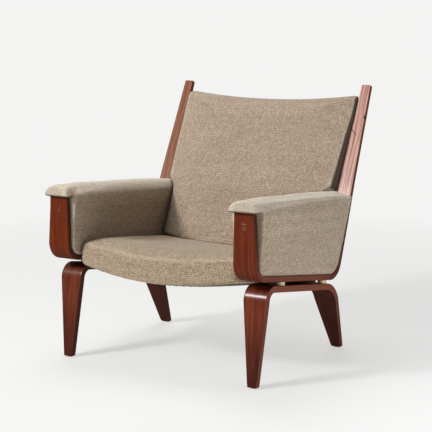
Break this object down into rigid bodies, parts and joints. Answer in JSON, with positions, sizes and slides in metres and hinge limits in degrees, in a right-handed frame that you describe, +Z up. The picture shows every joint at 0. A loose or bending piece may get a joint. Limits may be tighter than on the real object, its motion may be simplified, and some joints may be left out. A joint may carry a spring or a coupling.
{
  "type": "lounge chair",
  "caption": "Upholstered lounge chair on bent laminated wood: tapered side frames carry seat, arms and leaning back over splayed tapered legs.",
  "frame": {"origin": "on the floor under the middle of the chair, at the centre of the underside of its bounding box", "axes": "+Z up, the sitter faces -Y, +X to the sitter's left, and the plane X = 0 is the plane of symmetry"},
  "size_m": [0.6984, 0.7254, 0.77],
  "materials": {
    "frame_wood": "oiled red-brown laminated veneer, straight grain along the strip",
    "leg_wood": "oiled dark red-brown laminated veneer with a soft gloss on the bends",
    "plug_wood": "oiled red-brown, end grain",
    "core_wood": "plain sawn softwood, hidden",
    "plywood": "moulded birch plywood, hidden",
    "arm_cloth": "coarse heather wool in a plain weave",
    "seat_cloth_cover": "coarse heather wool in a plain weave",
    "back_cloth_cover": "coarse heather wool in a plain weave",
    "dust_cloth": "thin olive cotton",
    "spacer": "turned, lightly aged",
    "screw_brass": "turned, dulled",
    "bolt_steel": "zinc plated, dulled",
    "glide": "moulded nylon"
  },
  "bodies": {
    "root": {"side_frame_right": "frame_wood", "side_frame_left": "frame_wood", "leg_frame_right": "leg_wood", "leg_frame_left": "leg_wood", "spacer_front_right": "spacer", "spacer_front_left": "spacer", "spacer_rear_right": "spacer", "spacer_rear_left": "spacer", "frame_bolt_front_right": "bolt_steel", "frame_bolt_front_left": "bolt_steel", "frame_bolt_rear_right": "bolt_steel", "frame_bolt_rear_left": "bolt_steel", "glide_front_right": "glide", "glide_front_left": "glide", "glide_rear_right": "glide", "glide_rear_left": "glide", "seat_cleat_front_right": "core_wood", "seat_cleat_front_left": "core_wood", "seat_cleat_rear_right": "core_wood", "seat_cleat_rear_left": "core_wood", "cleat_side_screw_front_right": "bolt_steel", "cleat_side_screw_front_left": "bolt_steel", "cleat_side_screw_rear_right": "bolt_steel", "cleat_side_screw_rear_left": "bolt_steel", "cleat_shell_screw_front_right": "bolt_steel", "cleat_shell_screw_front_left": "bolt_steel", "cleat_shell_screw_rear_right": "bolt_steel", "cleat_shell_screw_rear_left": "bolt_steel", "arm_core_right": "core_wood", "arm_core_left": "core_wood", "arm_pad_right": "arm_cloth", "arm_pad_left": "arm_cloth", "post_screw_right": "bolt_steel", "post_screw_left": "bolt_steel", "post_plug_right": "plug_wood", "post_plug_left": "plug_wood", "back_screw_upper_right": "screw_brass", "back_screw_upper_left": "screw_brass", "back_screw_lower_right": "screw_brass", "back_screw_lower_left": "screw_brass", "seat_shell": "plywood", "seat_pad": "seat_cloth_cover", "seat_cloth": "dust_cloth", "back_shell": "plywood", "back_pad": "back_cloth_cover", "back_cover": "back_cloth_cover"}
  },
  "joints": []
}
